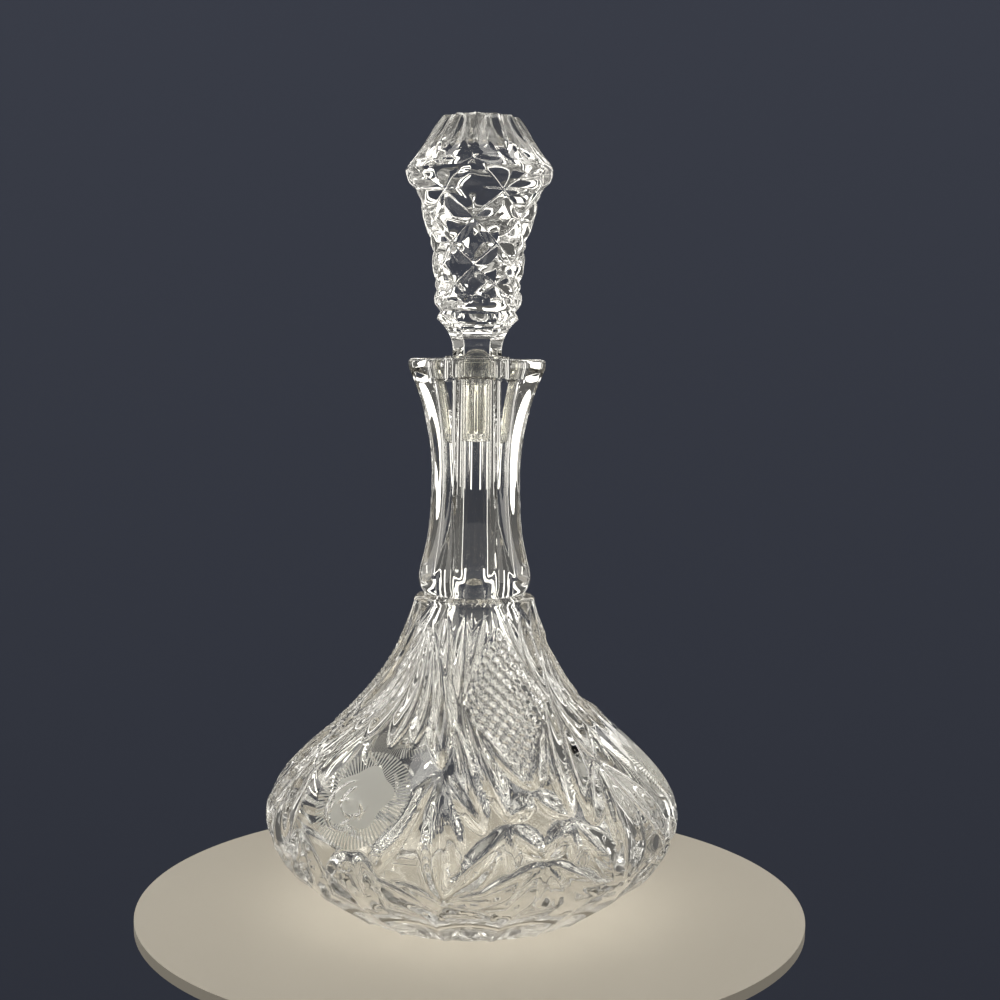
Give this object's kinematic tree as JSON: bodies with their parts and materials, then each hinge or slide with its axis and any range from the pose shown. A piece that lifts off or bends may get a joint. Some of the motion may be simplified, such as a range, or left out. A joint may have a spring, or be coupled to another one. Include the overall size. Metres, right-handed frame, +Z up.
{
  "type": "ships decanter",
  "caption": "Wide-bodied cut-glass decanter with a fluted neck, and a faceted glass stopper that lifts out of the mouth in a plastic sleeve.",
  "frame": {"origin": "middle of the foot, on the surface that the decanter stands on", "axes": "+Z up the neck, -Y towards the viewer of the picture, +X to the viewer's right"},
  "size_m": [0.1612, 0.1612, 0.304],
  "materials": {
    "bottle_glass": "clear pressed and cut glass, frosted in the medallions",
    "stopper_glass": "clear solid glass",
    "sleeve_plastic": "milky clear polyethylene"
  },
  "bodies": {
    "bottle": {"bottle": "bottle_glass"},
    "sleeve": {"stopper_sleeve": "sleeve_plastic"},
    "stopper": {"stopper": "stopper_glass"}
  },
  "joints": [
    {"name": "stopper_lift", "type": "slide", "parent": "bottle", "child": "sleeve", "axis": [0, 0, 1], "range_m": [0, 0.05]},
    {"name": "stopper_twist", "type": "hinge", "parent": "sleeve", "child": "stopper", "pos_m": [0, 0, 0.2138], "axis": [0, 0, 1], "continuous": true}
  ]
}
